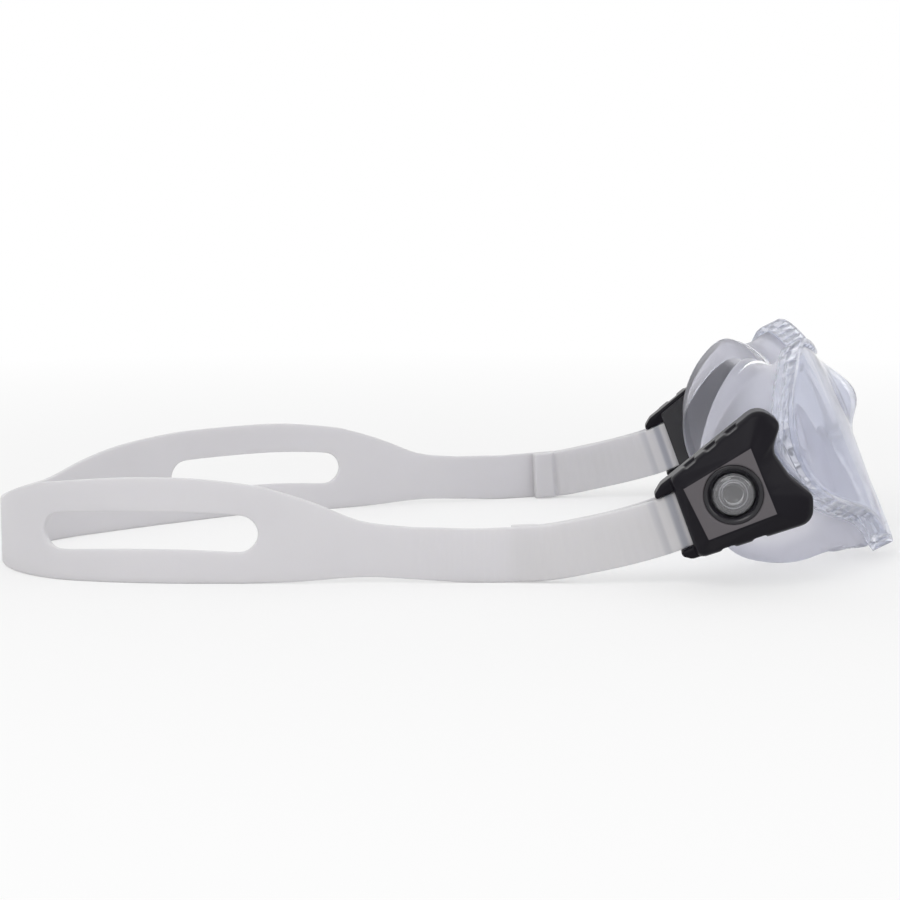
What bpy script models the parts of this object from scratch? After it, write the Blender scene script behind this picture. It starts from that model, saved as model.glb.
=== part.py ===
"""Swim goggles: a wrap-round lens in a clear frame, a soft face skirt, a ribbed strap and two push-button buckles.

Run with: blender --background --python part.py
Metres, +Z up. The lens faces +X, the wearer's left is +Y, and the goggles lie on z = 0 with the strap behind them.
The rigid front is built in its own frame (u forward, v to the wearer's left, w up), whose origin is level with
the push buttons, and is then pitched up as the goggles lie on a table.
"""
import math

import bmesh
import bpy
from mathutils import Vector

MM = 0.001

# How the goggles lie on the table
PITCH = math.radians(27.0)
BUTTON_HEIGHT = 24.3 * MM

# Clearances
GAP = 0.3 * MM
PIN_GAP = 0.2 * MM

# Rim outline and seal line, from the top centre round the wearer's left eye to the nose:
# rim v and w, then the seal's u, v and w, in millimetres
OUTLINE_STATIONS = (
    (0.0, 14.5, 22.0, 0.0, 17.5),
    (18.0, 17.8, 20.5, 20.0, 21.8),
    (38.0, 22.6, 15.5, 40.0, 24.8),
    (51.5, 18.0, 6.6, 52.5, 20.8),
    (60.0, 11.4, -1.0, 60.5, 14.0),
    (64.2, 4.0, -5.5, 63.6, 7.0),
    (64.8, -3.5, -7.8, 64.0, -1.0),
    (62.2, -12.2, -8.8, 61.0, -10.0),
    (53.5, -20.0, -6.5, 53.5, -19.5),
    (43.0, -25.6, 1.0, 45.5, -27.0),
    (35.0, -30.4, 8.0, 39.0, -31.0),
    (29.8, -37.5, 14.5, 31.5, -32.4),
    (24.2, -39.7, 19.0, 24.5, -31.0),
    (19.0, -35.6, 21.0, 18.5, -24.5),
    (16.0, -22.5, 22.5, 14.5, -15.5),
    (11.8, -14.4, 24.5, 9.5, -8.0),
    (6.0, -11.2, 26.0, 5.0, -3.5),
    (0.0, -10.4, 27.0, 0.0, -1.5),
)
RIM_SECTIONS = 72
RIM_CENTRE_U = 35.6 * MM
RIM_SWEEP = 16.6 * MM
RIM_SWEEP_POWER = 2.7
RIM_HALF_WIDTH = 64.8 * MM
RIM_LEAN = 0.065
RIM_LEAN_FROM = -8.0 * MM

# Frame: an outer wall with an inner flange between the lens and the skirt
FRAME_WALL = 1.6 * MM
FRAME_DEPTH = 6.0 * MM
FLANGE_FRONT = 3.0 * MM
FLANGE_THICKNESS = 1.4 * MM
FLANGE_WIDTH = 2.0 * MM
CELL_BORDER = 0.9 * MM
CELL_DEPTH = 0.6 * MM

# Lens
LENS_THICKNESS = 2.0 * MM
LENS_DOME = 1.6 * MM
LENS_ROWS = 8
BRIDGE_RISE = 5.9 * MM
BRIDGE_HALF_WIDTH = 13.0 * MM
BRIDGE_TOP = 14.5 * MM
BRIDGE_BOTTOM = -10.4 * MM
BRIDGE_SKEW = 1.8

# Skirt
SKIRT_WALL = 1.5 * MM
SKIRT_FLANGE_WIDTH = 2.6 * MM
SKIRT_BULGE = 1.2 * MM
SKIRT_NECK = 2.6 * MM
SKIRT_RINGS = 4
LIP_WIDTH = 6.5 * MM
LIP_EDGE = 0.7 * MM
LIP_SETBACK = 0.8 * MM

# Strap: its half height from each buckle's mouth and from the middle of the back, and its bottom edge's height
# off the table, as pairs of (distance, value) in millimetres; the left tail is let out a little further, which
# moves the middle of the back off the middle of the run
STRAP_THICKNESS = 1.6 * MM
STRAP_OFFSET = -0.9 * MM
NECK_HALF_HEIGHTS = ((0, 7.15), (38, 7.1), (58, 6.9), (73, 6.65), (81, 6.95), (95, 10.2), (111, 12.7), (130, 13.6))
PAD_HALF_HEIGHTS = ((0, 8.4), (18, 8.8), (34, 11.2), (48, 12.7), (72, 13.6))
PAD_OFFSET = -9.0 * MM
STRAP_LIFTS = ((6, 7.6), (23, 3.0), (38, 0.4), (52, 0.0), (68, 0.9), (80, 1.6), (94, 0.4), (106, 0.0), (240, 0.0))
STRAP_ROUTE = (
    (-34, -73.6), (-58, -73.4), (-92, -76.2), (-124, -79.6), (-150, -80.4), (-172, -76.5), (-187, -64.0),
    (-194, -43.0), (-189.5, -23.0), (-172, -1.0), (-158, 13.5), (-138, 32.0), (-115, 43.0), (-86, 56.0),
    (-56, 70.0), (-34, 73.6),
)
RIB_PITCH = 2.5 * MM
RIB_HEIGHT = 0.4 * MM
RIBBED_RUN = 72.0 * MM
TAIL_LENGTH = 46.0 * MM
TAIL_LIE = 0.5 * MM
TAB_LENGTH = 8.0 * MM
TAB_RISE = 1.5 * MM
SLOT_LENGTH = 56.5 * MM
SLOT_HALF_HEIGHT = 4.8 * MM
SLOT_TIP = 0.8 * MM
SLOT_FROM_MOUTH = 108.0 * MM
STRAP_STEP = 6.0 * MM

# Buckle outlines, in millimetres: u, w and corner radius, about the button's axis, seen from outside;
# the grips are distances along the cover's top and bottom edges from their rear corners
SHELL_OUTLINE = (
    (-12.4, 9.9, 1.8), (15.0, 16.3, 4.2), (18.2, 10.4, 2.4), (13.2, 5.2, 5.0), (14.2, -2.6, 8.0),
    (17.4, -9.6, 2.4), (14.6, -15.5, 4.0), (-14.8, -11.2, 1.8),
)
PRONG_TOP = ((-11.0, 10.2, 0.0), (-15.2, 9.3, 1.2), (-17.8, 7.6, 0.6), (-17.8, 6.7, 0.3), (-11.0, 6.7, 0.0))
PRONG_BOTTOM = ((-13.0, -8.5, 0.0), (-18.2, -8.5, 0.3), (-18.2, -9.4, 0.6), (-16.4, -10.9, 1.0), (-13.0, -11.4, 0.0))
FACET = ((-10.6, 6.9), (-10.6, -7.6), (7.6, -9.2), (9.0, 8.7))
LUG_OUTLINE = ((7.6, 4.2, 1.8), (7.6, -4.8, 1.8), (12.0, -6.2, 2.0), (16.6, -8.4, 1.0), (16.6, 6.4, 1.0), (12.0, 5.4, 2.0))
BOSS_OUTLINE = ((12.6, 4.6, 1.0), (12.6, -6.6, 1.0), (16.8, -6.6, 1.0), (16.8, 4.6, 1.0))
SHELL_WALL = 1.5 * MM
SHELL_ROOF = 1.4 * MM
SHELL_SLOPE = 4.4 * MM
PRONG_HEIGHT = 7.0 * MM
MOUTH_U = -13.6 * MM
MOUTH_HALF_WIDTH = 7.6 * MM
GRIP_TOP = (4.4, 11.0, 17.6)
GRIP_BOTTOM = (6.0, 14.2)
GRIP_LENGTH = 3.6 * MM
GRIP_DEPTH = 0.7 * MM
GRIP_DROP = 3.4 * MM
PEG_U = 11.2 * MM
PEG_RADIUS = 1.2 * MM

# Buckle insides
LUG_REACH = 3.2 * MM
LUG_THICKNESS = 1.4 * MM
BASE_THICKNESS = 1.2 * MM
BASE_INSET = 0.8 * MM
BASE_FRONT_U = 12.0 * MM
EAR_THICKNESS = 1.0 * MM
EAR_INNER = 7.5 * MM
EAR_REAR_U = -10.4 * MM
EAR_FRONT_U = -2.8 * MM
PIN_RADIUS = 0.55 * MM
ROLLER_U = -8.5 * MM
ROLLER_RADIUS = 1.1 * MM
PAWL_U = -4.6 * MM
PAWL_REAR_U = -9.7 * MM
PAWL_FRONT_U = 2.6 * MM
PAWL_HALF_WIDTH = 5.6 * MM
PAWL_THICKNESS = 1.0 * MM
PAWL_STEP = 0.8 * MM
PAWL_PAD_U = 1.2 * MM
PAWL_BARREL = 1.05 * MM
TOOTH_HEIGHT = 0.6 * MM
TOOTH_LENGTH = 0.8 * MM
TOOTH_COUNT = 3

# Button, bezel and spring
BUTTON_RADIUS = 5.25 * MM
BUTTON_TRAVEL = 1.3 * MM
BUTTON_PROUD = 1.0 * MM
BUTTON_CROWN = 0.5 * MM
BUTTON_TOP = 1.1 * MM
BUTTON_WALL = 0.95 * MM
STEM_RADIUS = 2.4 * MM
BEZEL_RADIUS = 7.4 * MM
BEZEL_LIP = 0.8 * MM
BEZEL_WALL = 0.7 * MM
BEZEL_PROUD = 0.2 * MM
BEZEL_FUNNEL = 1.4 * MM
BEZEL_FLOOR = 0.6 * MM
SPRING_RADIUS = 3.4 * MM
SPRING_WIRE = 0.2 * MM
SPRING_TURNS = 2
SPRING_PITCH = 0.85 * MM
SPRING_POINTS = 10
ROUND_SIDES = 32
PIN_SIDES = 16

# Layers of the buckle, measured outwards from the goggles' middle plane
LUG_OUT = RIM_HALF_WIDTH + LUG_REACH
LUG_IN = LUG_OUT - LUG_THICKNESS
BOSS_IN = RIM_HALF_WIDTH - 0.7 * FRAME_WALL
BASE_OUT = LUG_OUT + 0.2 * MM
BASE_IN = BASE_OUT - BASE_THICKNESS
SHELL_IN = BASE_OUT + GAP
TAIL_MID = BASE_OUT + GAP + STRAP_THICKNESS / 2
ROLLER_MID = TAIL_MID + STRAP_THICKNESS / 2 + GAP + ROLLER_RADIUS
RUN_MID = ROLLER_MID + ROLLER_RADIUS + GAP + STRAP_THICKNESS / 2
RIB_TOP = RUN_MID + STRAP_THICKNESS / 2 + RIB_HEIGHT
PAWL_IN = RIB_TOP + GAP + TOOTH_HEIGHT
PAWL_OUT = PAWL_IN + PAWL_THICKNESS
PAWL_MID = RIB_TOP + GAP + PAWL_BARREL
CUP_IN = max(PAWL_OUT, PAWL_MID + PAWL_BARREL) + GAP
CUP_FLOOR = CUP_IN + BEZEL_FLOOR
SPRING_IN = CUP_FLOOR + GAP
SPRING_OUT = SPRING_IN + SPRING_TURNS * SPRING_PITCH + 2 * SPRING_WIRE
BUTTON_UNDER = SPRING_OUT + GAP
BUTTON_FACE = BUTTON_UNDER + BUTTON_TOP
FACE = BUTTON_FACE - BUTTON_PROUD
BEZEL_SEAT = FACE + BEZEL_PROUD - BEZEL_LIP
BUTTON_RIM = CUP_FLOOR + BUTTON_TRAVEL + GAP
STEM_END = PAWL_OUT + PIN_GAP
SHOULDER = FACE - SHELL_SLOPE
MOUTH_TOP = RIB_TOP + GAP
BEZEL_BORE = BUTTON_RADIUS + GAP
CUP_RADIUS = BEZEL_BORE + BEZEL_WALL
STEM_BORE = STEM_RADIUS + GAP
PIN_BORE = PIN_RADIUS + PIN_GAP
EAR_OUTER = EAR_INNER + EAR_THICKNESS

# Finishes: colour, roughness, metallic and alpha
FRAME_FINISH = ((0.70, 0.74, 0.80), 0.10, 0.0, 0.45)
LENS_FINISH = ((0.62, 0.66, 0.74), 0.04, 0.0, 0.35)
SKIRT_FINISH = ((0.52, 0.54, 0.62), 0.38, 0.0, 0.85)
STRAP_FINISH = ((0.60, 0.60, 0.63), 0.45, 0.0, 1.0)
BUCKLE_FINISH = ((0.012, 0.011, 0.014), 0.16, 0.0, 1.0)
INSIDE_FINISH = ((0.02, 0.02, 0.022), 0.40, 0.0, 1.0)
BUTTON_FINISH = ((0.75, 0.77, 0.80), 0.06, 0.0, 0.50)
STEEL_FINISH = ((0.60, 0.60, 0.62), 0.28, 1.0, 1.0)

SIDES = (("right", -1), ("left", 1))


def clear_scene():
    for item in list(bpy.data.objects):
        bpy.data.objects.remove(item, do_unlink=True)


def material(name, colour, roughness, metallic, alpha):
    made = bpy.data.materials.new(name)
    made.use_nodes = True
    shader = made.node_tree.nodes["Principled BSDF"]
    shader.inputs["Base Color"].default_value = (*colour, 1.0)
    shader.inputs["Roughness"].default_value = roughness
    shader.inputs["Metallic"].default_value = metallic
    shader.inputs["Alpha"].default_value = alpha
    return made


def empty(name, location, rotation=(0.0, 0.0, 0.0), parent=None):
    made = bpy.data.objects.new(name, None)
    made.location = location
    made.rotation_euler = rotation
    made.parent = parent
    bpy.context.collection.objects.link(made)
    return made


def mesh_object(name, bm, finish, parent, origin=(0.0, 0.0, 0.0), smooth_below=30.0):
    """Link a bmesh as an object whose origin is at the given place in its parent's frame."""
    bmesh.ops.remove_doubles(bm, verts=bm.verts, dist=0.00001)
    bmesh.ops.translate(bm, vec=-Vector(origin), verts=bm.verts)
    bmesh.ops.recalc_face_normals(bm, faces=bm.faces)
    mesh = bpy.data.meshes.new(name)
    bm.to_mesh(mesh)
    bm.free()
    mesh.shade_smooth()
    mesh.set_sharp_from_angle(angle=math.radians(smooth_below))
    made = bpy.data.objects.new(name, mesh)
    made.location = origin
    made.parent = parent
    if finish:
        mesh.materials.append(material(name, *finish))
    bpy.context.collection.objects.link(made)
    return made


def boolean(target, bm, operation, name):
    """Add or take away a bmesh, kept as a hidden guide beside its target."""
    tool = mesh_object(name, bm, None, target.parent)
    tool.hide_render = True
    tool.display_type = "WIRE"
    step = target.modifiers.new(name, "BOOLEAN")
    step.operation = operation
    step.solver = "EXACT"
    step.object = tool


def rounded(corners, segments=5):
    """Outline in metres from corners of (u, w, radius) in millimetres, with an arc at each corner."""
    outline = []
    count = len(corners)
    for index, (u, w, radius) in enumerate(corners):
        corner = Vector((u, w)) * MM
        if radius == 0:
            outline.append(corner)
            continue
        before = Vector(corners[index - 1][:2]) * MM - corner
        after = Vector(corners[(index + 1) % count][:2]) * MM - corner
        half = before.angle(after) / 2
        reach = radius * MM / math.tan(half)
        centre = corner + (before.normalized() + after.normalized()).normalized() * radius * MM / math.sin(half)
        start = corner + before.normalized() * reach - centre
        end = corner + after.normalized() * reach - centre
        turn = start.angle_signed(end)
        for step in range(segments + 1):
            spin = -turn * step / segments
            outline.append(centre + Vector((start.x * math.cos(spin) - start.y * math.sin(spin),
                                            start.x * math.sin(spin) + start.y * math.cos(spin))))
    return outline


def inset(outline, distance):
    """Outline moved inwards by a distance, with mitred corners."""
    count = len(outline)
    area = sum(outline[i - 1].cross(outline[i]) for i in range(count))
    turn = 1 if area > 0 else -1
    moved = []
    for index, point in enumerate(outline):
        before = (point - outline[index - 1]).normalized()
        after = (outline[(index + 1) % count] - point).normalized()
        normal_before = Vector((-before.y, before.x)) * turn
        normal_after = Vector((-after.y, after.x)) * turn
        middle = (normal_before + normal_after).normalized()
        moved.append(point + middle * distance / max(0.5, middle.dot(normal_after)))
    return moved


def loft(bm, rings, close=True):
    """Skin between rings of equal count, with a cap on each end."""
    loops = [[bm.verts.new(point) for point in ring] for ring in rings]
    count = len(loops[0])
    for lower, upper in zip(loops, loops[1:]):
        for index in range(count):
            following = (index + 1) % count
            bm.faces.new((lower[index], lower[following], upper[following], upper[index]))
    if close:
        bm.faces.new(loops[0])
        bm.faces.new(loops[-1])
    return loops


def plate_ring(outline, out, side):
    """An outline in u and w, laid at a distance out from the middle plane."""
    return [(point.x, side * out, point.y) for point in outline]


def prism(outline, inner, outer, side):
    bm = bmesh.new()
    loft(bm, [plate_ring(outline, inner, side), plate_ring(outline, outer, side)])
    return bm


def circle(radius, sides, centre=(0.0, 0.0)):
    return [Vector((centre[0] + radius * math.cos(2 * math.pi * step / sides),
                    centre[1] + radius * math.sin(2 * math.pi * step / sides))) for step in range(sides)]


def box_outline(low_u, high_u, low_w, high_w):
    return [Vector((low_u, low_w)), Vector((high_u, low_w)), Vector((high_u, high_w)), Vector((low_u, high_w))]


def turned(profile, side, sides=ROUND_SIDES, centre=(0.0, 0.0)):
    """A turned solid about the button's axis from pairs of (radius, distance out), closed by its last point."""
    bm = bmesh.new()
    rings = [plate_ring(circle(radius, sides, centre), out, side) for radius, out in profile]
    if profile[0][0] == profile[-1][0] and profile[0][1] == profile[-1][1]:
        loft(bm, rings, close=False)
        bmesh.ops.remove_doubles(bm, verts=bm.verts, dist=0.000001)
    else:
        loft(bm, rings)
    return bm


def bar_ring(radius, sides, centre_u, centre_out, w, side):
    """A round section of a pin that runs up the goggles, along w."""
    return [(point.x, side * point.y, w) for point in circle(radius, sides, (centre_u, centre_out))]


def bar(radius, sides, centre_u, centre_out, low_w, high_w, side, bore=0.0):
    bm = bmesh.new()
    low = bar_ring(radius, sides, centre_u, centre_out, low_w, side)
    high = bar_ring(radius, sides, centre_u, centre_out, high_w, side)
    if bore:
        low_bore = bar_ring(bore, sides, centre_u, centre_out, low_w, side)
        high_bore = bar_ring(bore, sides, centre_u, centre_out, high_w, side)
        loft(bm, [low, high, high_bore, low_bore, low], close=False)
        bmesh.ops.remove_doubles(bm, verts=bm.verts, dist=0.000001)
    else:
        loft(bm, [low, high])
    return bm


def catmull(before, start, end, after, t):
    return 0.5 * (2 * start + (end - before) * t + (2 * before - 5 * start + 4 * end - after) * t * t
                  + (3 * start - before - 3 * end + after) * t * t * t)


def table_value(table, x):
    """Smooth value of a table of (x, value) pairs in millimetres, flat beyond its ends and never overshooting."""
    x = min(max(x / MM, table[0][0]), table[-1][0])
    steps = [(high[1] - low[1]) / (high[0] - low[0]) for low, high in zip(table, table[1:])]
    slopes = [steps[0]]
    for before, after in zip(steps, steps[1:]):
        slopes.append(2 * before * after / (before + after) if before * after > 0 else 0.0)
    slopes.append(0.0)
    index = next(i for i in range(len(steps)) if x <= table[i + 1][0])
    (low, low_value), (high, high_value) = table[index], table[index + 1]
    width = high - low
    t = (x - low) / width
    value = (low_value * (1 + 2 * t) * (1 - t) ** 2 + slopes[index] * width * t * (1 - t) ** 2
             + high_value * t * t * (3 - 2 * t) + slopes[index + 1] * width * t * t * (t - 1))
    return value * MM


def width_share():
    """The stated half width as a share of the outline table's own, so that the tables follow that size."""
    return RIM_HALF_WIDTH / (max(row[0] for row in OUTLINE_STATIONS) * MM)


def rim_u(v, w):
    """How far forward the rim and the lens lie, swept back to the temples and leaning with height."""
    sweep = RIM_SWEEP * (abs(v) / RIM_HALF_WIDTH) ** RIM_SWEEP_POWER
    return RIM_CENTRE_U - sweep + RIM_LEAN * (w - RIM_LEAN_FROM)


def bridge_rise(v, w):
    """Forward swell of the lens between the eyes, with a crease where it meets each eye panel."""
    across = 1 - (v / BRIDGE_HALF_WIDTH) ** 2
    share = (BRIDGE_TOP - w) / (BRIDGE_TOP - BRIDGE_BOTTOM)
    if across <= 0 or not 0 < share < 1:
        return 0.0
    return BRIDGE_RISE * across * math.sin(math.pi * share ** BRIDGE_SKEW)


class RimStation:
    """One place round the rim: the rim point, its outward normal, and the seal point with its own normal."""

    def __init__(self, row, ahead, behind):
        self.v, self.w = row[0], row[1]
        self.u = rim_u(self.v, self.w)
        self.out = self.outward(ahead[0] - behind[0], ahead[1] - behind[1])
        self.seal = Vector((row[2], row[3], row[4]))
        self.seal_out = self.outward(ahead[3] - behind[3], ahead[4] - behind[4])

    @staticmethod
    def outward(along_v, along_w):
        return Vector((0.0, along_w, -along_v)).normalized()

    def at(self, inward, back):
        return Vector((self.u - back, self.v, self.w)) - self.out * inward


def rim_stations():
    """Stations at equal steps round the rim, from the top centre down the wearer's right side and back."""
    wide = width_share() * MM
    half = [(v * wide, w * MM, su * MM, sv * wide, sw * MM) for v, w, su, sv, sw in OUTLINE_STATIONS]
    mirrored = [(-v, w, su, -sv, sw) for v, w, su, sv, sw in half]
    rows = mirrored + half[-2:0:-1]
    count = len(rows)
    samples = []
    for index in range(count):
        quad = [rows[(index + shift) % count] for shift in (-1, 0, 1, 2)]
        for step in range(24):
            samples.append([catmull(*column, step / 24) for column in zip(*quad)])
    total = len(samples)
    along = [0.0]
    for index in range(total):
        here, there = samples[index], samples[(index + 1) % total]
        along.append(along[-1] + math.hypot(there[0] - here[0], there[1] - here[1]))

    def sample(distance):
        distance = distance % along[-1]
        index = next(i for i in range(total) if along[i + 1] >= distance)
        share = (distance - along[index]) / (along[index + 1] - along[index])
        here, there = samples[index], samples[(index + 1) % total]
        return [a + (b - a) * share for a, b in zip(here, there)]

    step = along[-1] / RIM_SECTIONS
    reach = step / 4
    return [RimStation(sample(i * step), sample(i * step + reach), sample(i * step - reach))
            for i in range(RIM_SECTIONS)]


def hoop(stations, section):
    """A closed hoop whose section is a closed polygon at each station."""
    bm = bmesh.new()
    loops = [[bm.verts.new(point) for point in section(station)] for station in stations]
    corners = len(loops[0])
    walls = [[] for _ in range(corners)]
    for here, there in zip(loops, loops[1:] + loops[:1]):
        for index in range(corners):
            following = (index + 1) % corners
            walls[index].append(bm.faces.new((here[index], there[index], there[following], here[following])))
    bmesh.ops.recalc_face_normals(bm, faces=bm.faces)
    return bm, walls


def build_frame(stations, finish, parent):
    flange_back = FLANGE_FRONT + FLANGE_THICKNESS
    flange_edge = FRAME_WALL + FLANGE_WIDTH

    def section(station):
        corners = ((0, FRAME_DEPTH), (0, 0), (FRAME_WALL, 0), (FRAME_WALL, FLANGE_FRONT),
                   (flange_edge, FLANGE_FRONT), (flange_edge, flange_back),
                   (FRAME_WALL, flange_back), (FRAME_WALL, FRAME_DEPTH))
        return [station.at(inward, back) for inward, back in corners]

    bm, walls = hoop(stations, section)
    bmesh.ops.inset_individual(bm, faces=walls[0], thickness=CELL_BORDER, depth=-CELL_DEPTH, use_even_offset=True)
    frame = mesh_object("frame", bm, finish, parent)
    lug = rounded(LUG_OUTLINE)
    boss = rounded(BOSS_OUTLINE)
    for side_name, side in SIDES:
        boolean(frame, prism(boss, BOSS_IN, LUG_OUT - 0.4 * MM, side), "UNION", side_name + "_boss")
        boolean(frame, prism(lug, LUG_IN, LUG_OUT, side), "UNION", side_name + "_lug")
        hole = circle(PEG_RADIUS + GAP, PIN_SIDES, (PEG_U, 0.0))
        boolean(frame, prism(hole, LUG_IN - 1 * MM, LUG_OUT + 1 * MM, side), "DIFFERENCE", side_name + "_lug_hole")
    return frame


def build_lens(stations, finish, parent):
    """A grid of rungs from the top edge to the bottom edge, given its thickness and its forward swell."""
    bm = bmesh.new()
    edge = [station.at(FRAME_WALL + GAP, 0) for station in stations]
    quarter = RIM_SECTIONS // 4
    half = RIM_SECTIONS // 2
    front_set = FLANGE_FRONT - GAP - LENS_THICKNESS
    verts = {}

    def place(column, row, depth):
        top = edge[column % RIM_SECTIONS]
        bottom = edge[(half - column) % RIM_SECTIONS]
        share = row / LENS_ROWS
        v = top.y + (bottom.y - top.y) * share
        w = top.z + (bottom.z - top.z) * share
        dome = LENS_DOME * 4 * share * (1 - share) * min(1.0, (quarter - abs(column)) / 6)
        return bm.verts.new((rim_u(v, w) - front_set - depth + dome + bridge_rise(v, w), v, w))

    for layer, depth in enumerate((0.0, LENS_THICKNESS)):
        for column in range(-quarter, quarter + 1):
            rows = range(LENS_ROWS + 1)
            if abs(column) == quarter:
                tip = place(column, 0, depth)
                for row in rows:
                    verts[layer, column, row] = tip
            else:
                for row in rows:
                    verts[layer, column, row] = place(column, row, depth)
    for layer in (0, 1):
        for column in range(-quarter, quarter):
            for row in range(LENS_ROWS):
                ring = [verts[layer, column, row], verts[layer, column + 1, row],
                        verts[layer, column + 1, row + 1], verts[layer, column, row + 1]]
                bm.faces.new(list(dict.fromkeys(ring)))
    for row in (0, LENS_ROWS):
        for column in range(-quarter, quarter):
            bm.faces.new((verts[0, column, row], verts[0, column + 1, row],
                          verts[1, column + 1, row], verts[1, column, row]))
    return mesh_object("lens", bm, finish, parent)


def bowed(start, end, bow, rings):
    """Points from start to end along an arch that stands out by the bow at its middle."""
    return [start.lerp(end, ring / rings) + bow * math.sin(math.pi * ring / rings) for ring in range(rings + 1)]


def build_skirt(stations, finish, parent):
    flange_front = FLANGE_FRONT + FLANGE_THICKNESS + GAP
    flange_back = FRAME_DEPTH + GAP
    flange_out = FRAME_WALL + GAP
    flange_in = flange_out + SKIRT_FLANGE_WIDTH

    def section(station):
        above = min(max((station.out.z - 0.3) / 0.5, 0.0), 1.0)
        bow = station.out * (SKIRT_BULGE - (SKIRT_BULGE + SKIRT_NECK) * above)
        root = station.at(flange_out, flange_back + SKIRT_WALL / 2)
        root_in = station.at(flange_out + SKIRT_WALL, flange_back + SKIRT_WALL / 2)
        seal = station.seal
        seal_in = seal - station.seal_out * SKIRT_WALL + Vector((SKIRT_WALL, 0, 0))
        lip = seal - station.seal_out * LIP_WIDTH - Vector((LIP_SETBACK, 0, 0))
        forward = Vector((1, 0, 0))
        return [
            station.at(flange_out, flange_front),
            *bowed(root, seal, bow, SKIRT_RINGS),
            lip,
            lip + forward * LIP_EDGE,
            *bowed(seal_in, root_in, bow, SKIRT_RINGS),
            station.at(flange_in, flange_back - SKIRT_WALL / 2),
            station.at(flange_in, flange_front),
        ]

    bm, _ = hoop(stations, section)
    return mesh_object("skirt", bm, finish, parent)


def facet_point(point):
    """Where the ray from the button's axis through a point of the outline crosses the raised facet's edge."""
    corners = [Vector(corner) * MM for corner in FACET]
    for start, end in zip(corners, corners[1:] + corners[:1]):
        edge = end - start
        across = point.cross(edge)
        if abs(across) < 1e-12:
            continue
        reach = start.cross(edge) / across
        share = start.cross(point) / across
        if reach > 0 and -1e-6 <= share <= 1 + 1e-6:
            return point * reach
    return point * 0.5


def shell_form(side, wall, roof, foot):
    """The buckle cover's outer form, or its hollow when it is given a wall and a roof."""
    outline = rounded(SHELL_OUTLINE)
    if wall:
        outline = inset(outline, wall)
    crown = [facet_point(point) for point in outline]
    if wall:
        crown = [point * (1 - wall / point.length) for point in crown]
    brow = [point.lerp(top, 0.12) for point, top in zip(outline, crown)]
    bm = bmesh.new()
    drop = roof * 0.6
    loft(bm, [plate_ring(outline, foot, side), plate_ring(outline, SHOULDER - drop, side),
              plate_ring(brow, SHOULDER + 0.3 * SHELL_SLOPE - drop, side), plate_ring(crown, FACE - roof, side)])
    return bm


def build_shell(side_name, side, finish, parent):
    shell = mesh_object(side_name + "_buckle_shell", shell_form(side, 0, 0, SHELL_IN), finish, parent)
    boolean(shell, grip_cutters(side), "DIFFERENCE", side_name + "_grips")
    boolean(shell, shell_form(side, SHELL_WALL, SHELL_ROOF, SHELL_IN - 1 * MM), "DIFFERENCE", side_name + "_hollow")
    for index, prong in enumerate((PRONG_TOP, PRONG_BOTTOM)):
        outline = rounded(prong, 3)
        boolean(shell, prism(outline, SHELL_IN, SHELL_IN + PRONG_HEIGHT, side), "UNION",
                "{}_prong_{}".format(side_name, index))
    mouth = box_outline(MOUTH_U - 3 * MM, MOUTH_U + 3.6 * MM, STRAP_OFFSET - MOUTH_HALF_WIDTH, STRAP_OFFSET + MOUTH_HALF_WIDTH)
    boolean(shell, prism(mouth, SHELL_IN - 1 * MM, MOUTH_TOP, side), "DIFFERENCE", side_name + "_mouth")
    well = [(BEZEL_RADIUS + GAP, FACE + 1 * MM), (BEZEL_RADIUS + GAP, BEZEL_SEAT - GAP),
            (CUP_RADIUS + GAP, BEZEL_SEAT - GAP), (CUP_RADIUS + GAP, FACE - SHELL_ROOF - 1 * MM)]
    boolean(shell, turned(well, side), "DIFFERENCE", side_name + "_button_well")
    peg = circle(PEG_RADIUS, PIN_SIDES, (PEG_U, 0.0))
    boolean(shell, prism(peg, LUG_IN + GAP, SHOULDER + 0.36 * SHELL_SLOPE, side), "UNION", side_name + "_peg")
    return shell


def grip_cutters(side):
    """Blocks that notch the cover's top and bottom edges, set along each edge of its outline."""
    bm = bmesh.new()
    for starts, rear, front in ((GRIP_TOP, SHELL_OUTLINE[0], SHELL_OUTLINE[1]),
                                (GRIP_BOTTOM, SHELL_OUTLINE[7], SHELL_OUTLINE[6])):
        rear_corner = Vector(rear[:2]) * MM
        along = (Vector(front[:2]) * MM - rear_corner).normalized()
        inward = Vector((along.y, -along.x)) * (1 if rear_corner.y > 0 else -1)
        for start in starts:
            corner = rear_corner + along * start * MM
            block = [corner + along * step * GRIP_LENGTH + inward * depth
                     for step, depth in ((0, GRIP_DEPTH), (1, GRIP_DEPTH), (1, -3 * MM), (0, -3 * MM))]
            loft(bm, [plate_ring(block, SHOULDER - GRIP_DROP, side), plate_ring(block, FACE, side)])
    return bm


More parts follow.
